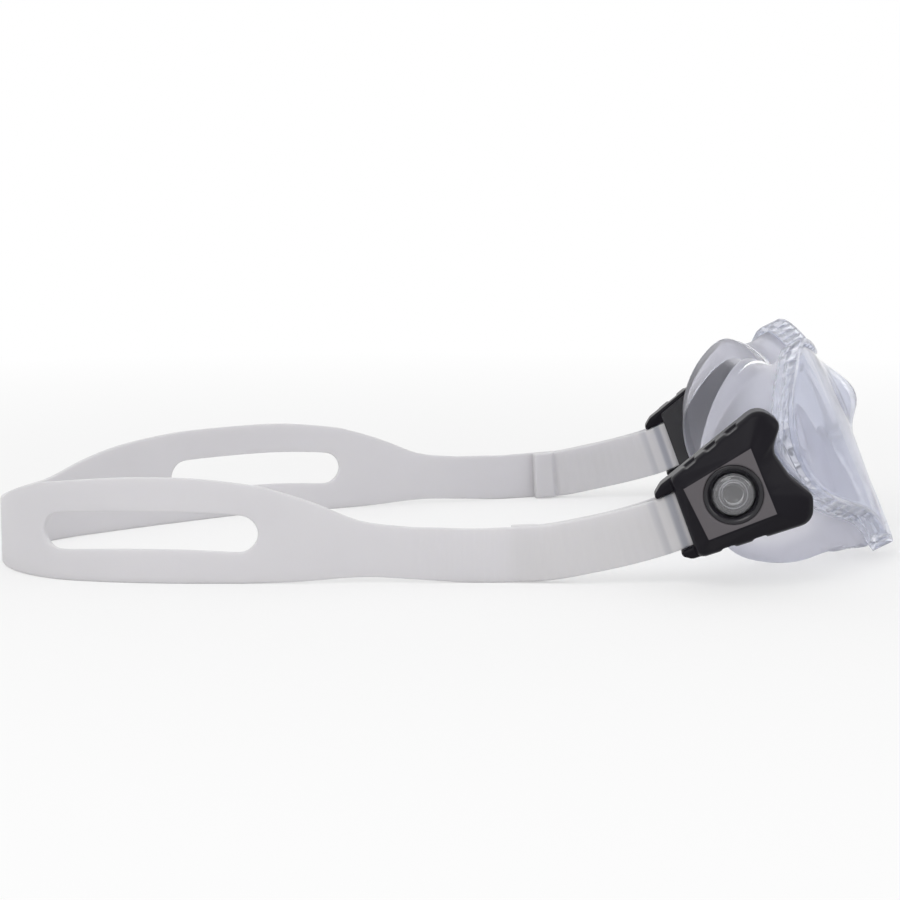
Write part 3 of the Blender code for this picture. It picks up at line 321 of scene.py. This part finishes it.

# %% [markdown]
# The cover's flat panel catches a bright reflection that the slopes round it miss. That reflection is
# painted: a lighter grey with a crisp edge is laid over the black. The panel is a four-cornered patch
# on the cover's crest, so the mask is the product of five ramps: one for the height of the crest and one
# for each side of the patch. The distance out is taken without its sign, so one mask serves both buckles.

# %% Painted reflection on the covers' panels
PANEL_CORNERS = ((-10.6, 6.9), (-10.6, -7.6), (7.6, -9.2), (9.0, 8.7))
PANEL_CREST = 80.75
PANEL_SOFTNESS = 0.25
# The panel's reflection, painted as a lighter grey over the black gloss.
PANEL_REFLECTION_COLOUR = (0.125, 0.116, 0.124)
PANEL_ROUGHNESS = 0.30


def panel_reflection_group():
    """One on the flat panel, where the reflection is painted, nought off it."""
    group, entry, leave = open_group("painted_panel_reflection", {"Vector": "Vector"}, {"Mask": "Float"})
    nodes, links = group.nodes, group.links
    place = entry.outputs["Vector"]
    middle = button_axis("right")
    out = sums(nodes, links, "ABSOLUTE", along(nodes, links, place, SIDEWAYS))
    mask = ramp(nodes, links, out, (PANEL_CREST - PANEL_SOFTNESS) * MM, PANEL_CREST * MM)
    corners = [Vector(corner) * MM for corner in PANEL_CORNERS]
    for here, there in zip(corners, corners[1:] + corners[:1]):
        edge = (there - here).normalized()
        inward = FORWARD * -edge.y + UPWARD * edge.x
        start = inward.dot(Vector((middle.x, 0.0, middle.z)) + FORWARD * here.x + UPWARD * here.y)
        side = ramp(nodes, links, along(nodes, links, place, inward), start, start + PANEL_SOFTNESS * MM)
        mask = sums(nodes, links, "MULTIPLY", mask, side)
    links.new(mask, leave.inputs["Mask"])
    return group


# Paint the panel's reflection over the black gloss.
overlay(black_gloss, panel_reflection_group(), PANEL_REFLECTION_COLOUR, PANEL_ROUGHNESS)

# %% [markdown]
# Near the buckle's mouth the strap gets bands of painted shade. They stand in for the shade between its
# ribs and for the dark buckle seen through the rubber. A cosine along the strap gives the bands, and a
# ramp along the same direction fades them out away from the buckle's mouth.

# %% Painted shade in bands on the strap
BAND_SLOPE = math.radians(20.0)
BAND_DIRECTION = Vector((math.cos(BAND_SLOPE), 0.0, math.sin(BAND_SLOPE)))
BAND_PITCH = 4.7
BAND_FIRST = 62.3
BAND_FADE = (53.0, 65.0)
BAND_WAVE = (-0.4, 1.0)
# The colour of the painted shade in the bands.
BAND_SHADE_COLOUR = (0.36, 0.37, 0.42)
BAND_ROUGHNESS = 0.40


def shade_band_group():
    """One in the middle of each band of painted shade, nought between the bands and away from the buckles.
    """
    group, entry, leave = open_group("painted_mouth_shade", {"Vector": "Vector"}, {"Mask": "Float"})
    nodes, links = group.nodes, group.links
    place = along(nodes, links, entry.outputs["Vector"], BAND_DIRECTION)
    turns = 2 * math.pi / (BAND_PITCH * MM)
    phase = sums(nodes, links, "MULTIPLY_ADD", place, turns, -turns * BAND_FIRST * MM)
    bands = ramp(nodes, links, sums(nodes, links, "COSINE", phase), *BAND_WAVE)
    near = ramp(nodes, links, place, BAND_FADE[0] * MM, BAND_FADE[1] * MM)
    links.new(sums(nodes, links, "MULTIPLY", bands, near), leave.inputs["Mask"])
    return group


# Paint the bands of shade onto the strap.
overlay(strap_rubber, shade_band_group(), BAND_SHADE_COLOUR, BAND_ROUGHNESS)

# %% [markdown]
# Clear plastic is darkest where the eye grazes it, because the way through it is longest there. A
# volume inside the plastic would do this by itself, but it renders slowly. So this shade is painted:
# the colour darkens with the angle between the eye and the face, which gives nearly the same, and this
# painted shade is what outlines the rungs between the frame's cells.


# %% Painted shade on the edges of the clear plastics
def painted_edge_shade(coat, colour, start, end):
    """Blend a finish towards a darker colour as the face turns away from the eye."""
    nodes, links = coat.node_tree.nodes, coat.node_tree.links
    graze = nodes.new("ShaderNodeLayerWeight")
    target = nodes["Principled BSDF"].inputs["Base Color"]
    mix = nodes.new("ShaderNodeMix")
    mix.data_type = "RGBA"
    links.new(ramp(nodes, links, graze.outputs["Facing"], start, end), mix.inputs["Factor"])
    links.new(target.links[0].from_socket, mix.inputs["A"])
    mix.inputs["B"].default_value = (*colour, 1.0)
    links.new(mix.outputs["Result"], target)
    print("darker edges:", coat.name)


# Painted shade where the frame and the lens turn away from the eye.
painted_edge_shade(clear_frame, colour=(0.36, 0.40, 0.56), start=0.55, end=0.97)
painted_edge_shade(clear_lens, colour=(0.46, 0.48, 0.57), start=0.60, end=0.98)

# %% [markdown]
# A piece that stands for a solid often starts as a copy of it. The copy's loose triangles are merged,
# turned back into four-sided faces where they can be, and only then rounded, because rounding follows
# the edges it finds. The solid itself is never touched.

# %% Helpers for copies
COPY_MERGE = 0.002 * MM
QUAD_SKEW = math.radians(60)
BEVEL_SEGMENTS = 2


def merged_copy(node):
    """A copy of a solid's mesh with its loose triangles joined."""
    bm = bmesh.new()
    bm.from_mesh(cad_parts[node].data)
    bmesh.ops.remove_doubles(bm, verts=bm.verts, dist=COPY_MERGE)
    return bm


def four_sided(bm, flatness):
    """Join pairs of triangles that lie within so many degrees of flat."""
    bmesh.ops.join_triangles(bm, faces=bm.faces, angle_face_threshold=math.radians(flatness),
                             angle_shape_threshold=QUAD_SKEW)


def sharp_edges(bm, angle):
    """The edges whose two faces turn by more than so many degrees."""
    limit = math.radians(angle)
    return [edge for edge in bm.edges if edge.is_manifold and edge.calc_face_angle() > limit]


def round_edges(bm, angle, width, clamp=True):
    """Bevel the sharp edges. One short edge holds the whole bevel back if it is clamped."""
    bmesh.ops.bevel(bm, geom=sharp_edges(bm, angle), offset=width, offset_type="OFFSET",
                    segments=BEVEL_SEGMENTS, profile=0.5, affect="EDGES", material=-1, clamp_overlap=clamp)


for node in ("strap", "skirt", "lens", "frame"):
    bm = merged_copy(node)
    print("copy of", node + ":", len(bm.faces), "faces")
    bm.free()

# %% [markdown]
# Every new piece ends the same way: its mesh is linked at the origin, it gets its finish, it stands
# for the solids that it hides, and it rides on the body that they belong to. Pieces of soft rubber
# and sheet get a subdivision on top, which is left as a modifier so that the mesh below stays light.

# %% Helpers for pieces
WELD = 0.001 * MM
WIRE_ROUNDNESS = 5
WIRE_ORDER = 4
WIRE_STEPS = 8


def piece(name, bm, coat, slot, body, *nodes):
    """Link a finished mesh, let it stand for its nodes, and let it ride on its body."""
    mesh = bpy.data.meshes.new(name)
    bm.to_mesh(mesh)
    bm.free()
    mesh.shade_smooth()
    mesh.materials.append(coat)
    made = bpy.data.objects.new(name, mesh)
    scene.collection.objects.link(made)
    if nodes:
        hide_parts(*nodes)
    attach(made, body)
    print("piece:", name, len(mesh.polygons), "faces")
    return made


def smoothed(made):
    """Subdivide a piece once, in the window and in the render alike."""
    step = made.modifiers.new("smooth", "SUBSURF")
    step.levels = 1
    step.render_levels = 1


def tube(points, radius):
    """A round wire along points, smooth between them, as a mesh with closed ends."""
    line = bpy.data.curves.new("wire", "CURVE")
    line.dimensions = "3D"
    line.bevel_depth = radius
    line.bevel_resolution = WIRE_ROUNDNESS
    line.use_fill_caps = True
    spline = line.splines.new("NURBS")
    spline.points.add(len(points) - 1)
    for point, place in zip(spline.points, points):
        point.co = (*place, 1.0)
    spline.use_endpoint_u = True
    spline.order_u = WIRE_ORDER
    spline.resolution_u = WIRE_STEPS
    source = bpy.data.objects.new("wire", line)
    bm = bmesh.new()
    bm.from_mesh(source.to_mesh())
    source.to_mesh_clear()
    bpy.data.objects.remove(source, do_unlink=True)
    bmesh.ops.remove_doubles(bm, verts=bm.verts, dist=WELD)
    bmesh.ops.recalc_face_normals(bm, faces=bm.faces)
    return bm


# %% [markdown]
# The strap is one moulded band with ribs near the buckles and a slot on each side of the back. Its
# long edges get a narrow bevel before the subdivision, or the subdivision would turn the flat band
# into a thin oval.

# %% Strap
STRAP_FLATNESS = 15
STRAP_SHARP = 50
STRAP_ROUNDING = 0.45 * MM

bm = merged_copy("strap")
four_sided(bm, STRAP_FLATNESS)
round_edges(bm, STRAP_SHARP, STRAP_ROUNDING)
smoothed(piece("milky_strap", bm, strap_rubber, "strap", "goggles", "strap"))

# %% [markdown]
# The skirt is a thin soft cup with a wide lip that lies on the face. It could be drawn anew as a
# sheet and made thick, but its copy already fits behind the frame. Subdividing the copy rounds the
# lip and the neck as a mould would.

# %% Skirt
SKIRT_FLATNESS = 40
SKIRT_SHARP = 45
SKIRT_ROUNDING = 0.30 * MM

bm = merged_copy("skirt")
four_sided(bm, SKIRT_FLATNESS)
round_edges(bm, SKIRT_SHARP, SKIRT_ROUNDING)
smoothed(piece("face_skirt", bm, skirt_rubber, "skirt", "goggles", "skirt"))

# %% [markdown]
# The lens is one clear sheet that wraps round both eyes. Clear plastic shows each facet twice, once
# on either face, so the sheet is subdivided once.

# %% Lens
LENS_FLATNESS = 30
LENS_SHARP = 50
LENS_ROUNDING = 0.25 * MM

bm = merged_copy("lens")
four_sided(bm, LENS_FLATNESS)
round_edges(bm, LENS_SHARP, LENS_ROUNDING)
smoothed(piece("clear_window", bm, clear_lens, "lens", "goggles", "lens"))

# %% [markdown]
# The frame is a clear rim with a row of small cells along its outer wall. A subdivision would melt
# the cells, so it keeps its flat faces and gets a small bevel that catches the light. Slivers go
# first, since a bevel next to a sliver folds over itself, and the bevel isn't clamped, since one
# short edge would hold it all back.

# %% Frame
FRAME_FLAT = math.radians(2)
FRAME_SLIVER = 0.12 * MM
FRAME_SHARP = 35
FRAME_ROUNDING = 0.16 * MM
FRAME_MOST_CORNERS = 4

bm = merged_copy("frame")
bmesh.ops.dissolve_limit(bm, angle_limit=FRAME_FLAT, verts=bm.verts, edges=bm.edges)
bmesh.ops.dissolve_degenerate(bm, edges=bm.edges, dist=FRAME_SLIVER)
round_edges(bm, FRAME_SHARP, FRAME_ROUNDING, clamp=False)
bmesh.ops.remove_doubles(bm, verts=bm.verts, dist=WELD)
bmesh.ops.triangulate(bm, faces=[face for face in bm.faces if len(face.verts) > FRAME_MOST_CORNERS])
piece("clear_rim", bm, clear_frame, "frame", "goggles", "frame")

# %% [markdown]
# A clear bead runs down each temple, along the hollow front of the buckle. It lies on the frame's
# lug, half sunk into it. A curve with a round bevel is the plain way to make it, turned into a mesh
# so that it joins the other pieces. Its path is given forward and upward of the button's middle.

# %% Temple beads
BEAD_PATH = (
    (16.0, 7.0), (14.9, 5.6), (14.45, 3.4), (14.6, 0.6), (15.3, -2.4), (16.3, -5.2), (17.3, -7.6))
BEAD_RADIUS = 0.7 * MM
BEAD_OUT = 67.8 * MM

for side_name, side in SIDES:
    middle = button_axis(side_name)
    middle.y = side * BEAD_OUT
    path = [middle + (FORWARD * forward + UPWARD * upward) * MM for forward, upward in BEAD_PATH]
    piece(side_name + "_temple_bead", tube(path, BEAD_RADIUS), clear_frame, "frame", "goggles")

# %% [markdown]
# Each buckle cover is one black moulding. A bevel would have to pick its way round the notches and
# the prongs. A voxel remesh of the copy, smoothed a few times, rounds every edge alike, outside and
# in the notches, as the steel of a mould is polished. Smoothing draws the walls in a little, so they
# swell back afterwards.

# %% Buckle covers
COVER_VOXEL = 0.32 * MM
COVER_PASSES = 4
COVER_SMOOTHING = 0.5
COVER_SWELL = 0.22 * MM


def remeshed(node):
    """A copy of a solid, rebuilt from voxels, smoothed and swollen back."""
    source = bpy.data.objects.new("remesh_source", bpy.data.meshes.new("remesh_source"))
    bm = merged_copy(node)
    bm.to_mesh(source.data)
    bm.free()
    scene.collection.objects.link(source)
    step = source.modifiers.new("remesh", "REMESH")
    step.mode = "VOXEL"
    step.voxel_size = COVER_VOXEL
    shaped = source.evaluated_get(bpy.context.evaluated_depsgraph_get())
    bm = bmesh.new()
    bm.from_mesh(shaped.to_mesh())
    shaped.to_mesh_clear()
    bpy.data.objects.remove(source, do_unlink=True)
    for _ in range(COVER_PASSES):
        bmesh.ops.smooth_vert(bm, verts=bm.verts, factor=COVER_SMOOTHING,
                              use_axis_x=True, use_axis_y=True, use_axis_z=True)
    bm.normal_update()
    for vert in bm.verts:
        vert.co += vert.normal * COVER_SWELL
    return bm


for side_name, _ in SIDES:
    node = side_name + "_buckle_shell"
    piece(side_name + "_cover", remeshed(node), black_gloss, "buckle", "goggles", node)

# %% [markdown]
# The button and its bezel are turned parts. A profile is drawn once and spun about the button's axis,
# with enough steps that the clear dome shows no flats. Each place on a profile is a radius and a
# distance out from the middle of the goggles.

# %% Buttons and bezels
TURN_STEPS = 64
BUTTON_SHARP = math.radians(50)
BUTTON_PROFILE = (
    (0.0, 82.0), (1.4, 81.96), (2.8, 81.82), (3.8, 81.60), (4.6, 81.30), (5.05, 80.95), (5.2, 80.6),
    (5.2, 79.9), (5.1, 79.8), (4.4, 79.8), (4.3, 79.9), (4.3, 80.6), (4.0, 80.9), (2.7, 80.9),
    (2.4, 80.6), (2.4, 77.3), (2.1, 77.0), (0.0, 77.0))
BEZEL_SHARP = math.radians(40)
BEZEL_PROFILE = (
    (7.4, 80.4), (7.4, 81.0), (7.33, 81.13), (7.2, 81.2), (6.75, 81.2), (6.6, 81.13), (5.7, 80.0),
    (5.55, 79.7), (5.55, 78.2), (2.7, 78.2), (2.7, 77.6), (6.25, 77.6), (6.25, 80.4), (7.4, 80.4))


def spun(profile, side, centre):
    """A profile of (radius, distance out) in millimetres, spun about the button's axis."""
    bm = bmesh.new()
    verts = []
    for radius, out in profile:
        verts.append(bm.verts.new((centre.x + radius * MM, side * out * MM, centre.z)))
    edges = [bm.edges.new(pair) for pair in zip(verts, verts[1:])]
    bmesh.ops.spin(bm, geom=verts + edges, cent=(centre.x, 0.0, centre.z), axis=SIDEWAYS,
                   angle=2 * math.pi, steps=TURN_STEPS, use_merge=True)
    bmesh.ops.remove_doubles(bm, verts=bm.verts, dist=WELD)
    bmesh.ops.recalc_face_normals(bm, faces=bm.faces)
    return bm


for side_name, side in SIDES:
    centre = button_axis(side_name)
    dome = spun(BUTTON_PROFILE, side, centre)
    button = piece(side_name + "_clear_button", dome, clear_button, "button",
                   side_name + "_button", side_name + "_button")
    button.data.set_sharp_from_angle(angle=BUTTON_SHARP)
    ring = spun(BEZEL_PROFILE, side, centre)
    bezel = piece(side_name + "_bezel_ring", ring, bezel_gloss, "buckle",
                  "goggles", side_name + "_button_bezel")
    bezel.data.set_sharp_from_angle(angle=BEZEL_SHARP)

# %% [markdown]
# A spring can't ride on one body: its foot stands in the cup, and its head follows the button. Here the
# coil is wound as it stands at rest, and it rides with the goggles.

# %% Springs
COIL_RADIUS = 3.4 * MM
COIL_WIRE = 0.2 * MM
COIL_TURNS = 2
COIL_STEPS = 24

for side_name, side in SIDES:
    centre = button_axis(side_name)
    low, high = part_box(side_name + "_button_spring")
    foot = min(low.y, high.y, key=abs)
    length = high.y - low.y
    path = []
    for index in range(COIL_TURNS * COIL_STEPS + 1):
        turn = 2 * math.pi * index / COIL_STEPS
        rise = COIL_WIRE + (length - 2 * COIL_WIRE) * index / (COIL_TURNS * COIL_STEPS)
        place = centre + (FORWARD * math.cos(turn) + UPWARD * math.sin(turn)) * COIL_RADIUS
        path.append(Vector((place.x, foot + side * rise, place.z)))
    spring = piece(side_name + "_coil", tube(path, COIL_WIRE), bright_steel, "steel", "goggles",
                   side_name + "_button_spring")
    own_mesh(spring)

# %% [markdown]
# What stays as it was packed still gets a finish. These solids are small and lie behind the covers,
# so finer copies would add nothing that shows: the works inside the buckles are satin black and the
# pins bright steel.

# %% Works inside the buckles
WORKS = (("buckle_base", black_satin), ("pawl", black_satin), ("strap_roller", black_satin),
         ("pawl_pin", bright_steel), ("roller_pin", bright_steel))

for side_name, _ in SIDES:
    for part, coat in WORKS:
        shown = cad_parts["{}_{}".format(side_name, part)]
        shown.data.materials.clear()
        shown.data.materials.append(coat)
        print("solid kept:", shown.name, "in", coat.name)

# %% [markdown]
# The goggles lie on a plain pale floor under soft studio light. More lamps could burn the floor
# white, but they would burn the milky rubber too. So the floor and the sky are plainly white to the
# eye, to reflections and to what is seen through clear plastic. Close to the goggles the floor stays
# half paper, to keep their shadow.

# %% Floor
FLOOR_SIZE = 40.0
FLOOR_COLOUR = (0.90, 0.90, 0.90, 1.0)
FLOOR_ROUGHNESS = 0.9
FLOOR_WHITER = (("From Min", 0.15), ("From Max", 0.6), ("To Min", 0.5), ("To Max", 1.0))


def seen_directly(nodes, links):
    """One where the ray comes from the eye, a reflection or clear plastic."""
    ray = nodes.new("ShaderNodeLightPath")
    total = ray.outputs["Is Camera Ray"]
    for output in ("Is Glossy Ray", "Is Transmission Ray"):
        total = sums(nodes, links, "MAXIMUM", total, ray.outputs[output])
    return total


def floor_paper():
    """Matte paper that shows as white to the eye, more so the farther it lies from the goggles."""
    paper = bpy.data.materials.new("floor_paper")
    paper.use_nodes = True
    nodes, links = paper.node_tree.nodes, paper.node_tree.links
    matte = nodes["Principled BSDF"]
    matte.inputs["Base Color"].default_value = FLOOR_COLOUR
    matte.inputs["Roughness"].default_value = FLOOR_ROUGHNESS
    matte.inputs["Specular IOR Level"].default_value = 0.0
    glow = nodes.new("ShaderNodeEmission")
    glow.inputs["Strength"].default_value = 1.0
    place = nodes.new("ShaderNodeTexCoord")
    reach = nodes.new("ShaderNodeVectorMath")
    reach.operation = "LENGTH"
    links.new(place.outputs["Object"], reach.inputs[0])
    whiter = nodes.new("ShaderNodeMapRange")
    for socket, value in FLOOR_WHITER:
        whiter.inputs[socket].default_value = value
    links.new(reach.outputs["Value"], whiter.inputs["Value"])
    share = sums(nodes, links, "MULTIPLY", seen_directly(nodes, links), whiter.outputs["Result"])
    both = nodes.new("ShaderNodeMixShader")
    links.new(share, both.inputs["Fac"])
    links.new(matte.outputs["BSDF"], both.inputs[1])
    links.new(glow.outputs["Emission"], both.inputs[2])
    links.new(both.outputs["Shader"], nodes["Material Output"].inputs["Surface"])
    return paper


bm = bmesh.new()
bmesh.ops.create_grid(bm, x_segments=1, y_segments=1, size=FLOOR_SIZE / 2)
floor_mesh = bpy.data.meshes.new("floor")
bm.to_mesh(floor_mesh)
bm.free()
floor = bpy.data.objects.new("floor", floor_mesh)
scene.collection.objects.link(floor)
floor_mesh.materials.append(floor_paper())
floor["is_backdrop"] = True
print("floor:", FLOOR_SIZE, "m across")

# %% [markdown]
# The sky has two strengths. What the eye, a reflection or clear plastic meets is plain white, and
# what lights the goggles is softer, so that a colour renders about as it is written.

# %% Sky
WHITE = (1.0, 1.0, 1.0, 1.0)
SKY_LIGHT = 0.60
SKY_SEEN = 1.0

world = bpy.data.worlds.new("studio")
scene.world = world
world.use_nodes = True
nodes, links = world.node_tree.nodes, world.node_tree.links
soft = nodes["Background"]
soft.inputs["Color"].default_value = WHITE
soft.inputs["Strength"].default_value = SKY_LIGHT
white = nodes.new("ShaderNodeBackground")
white.inputs["Color"].default_value = WHITE
white.inputs["Strength"].default_value = SKY_SEEN
sky = nodes.new("ShaderNodeMixShader")
links.new(seen_directly(nodes, links), sky.inputs["Fac"])
links.new(soft.outputs["Background"], sky.inputs[1])
links.new(white.outputs["Background"], sky.inputs[2])
links.new(sky.outputs["Shader"], nodes["World Output"].inputs["Surface"])
print("sky:", SKY_LIGHT, "as light,", SKY_SEEN, "as seen")

# %% [markdown]
# Three large square lamps shape the goggles: a key from the near left, a weaker fill from the right,
# and a broad one behind, which shines through the rubber and the clear rim. A sun would draw hard
# shadows on the floor, and area lamps of this size leave only soft ones.

# %% Lamps
LAMPS = {
    "key": {"place": (-0.35, -0.75, 0.95), "size": 0.8, "power": 5.0},
    "fill": {"place": (0.9, -0.5, 0.5), "size": 0.5, "power": 1.6},
    "back": {"place": (0.1, 0.9, 0.8), "size": 1.6, "power": 3.2},
}
LAMP_AIM = Vector((0.0, 0.0, 0.02))

for name, facts in LAMPS.items():
    lamp = bpy.data.lights.new(name, "AREA")
    lamp.size = facts["size"]
    lamp.energy = facts["power"]
    light = bpy.data.objects.new(name, lamp)
    light.location = facts["place"]
    light.rotation_euler = (LAMP_AIM - light.location).to_track_quat("-Z", "Y").to_euler()
    light.visible_camera = False
    scene.collection.objects.link(light)
    print("lamp:", name, facts["power"], "W")

# %% [markdown]
# Before closing, the box round the dressed goggles is set beside the box round the solids, which it
# may not outgrow.

# %% Sizes
bpy.context.view_layer.update()
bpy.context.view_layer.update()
for title, (low, high) in (("solids", cad_box), ("dressed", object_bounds())):
    print(title, "box:", " x ".join("{:.1f}".format(extent / MM) for extent in high - low), "mm")
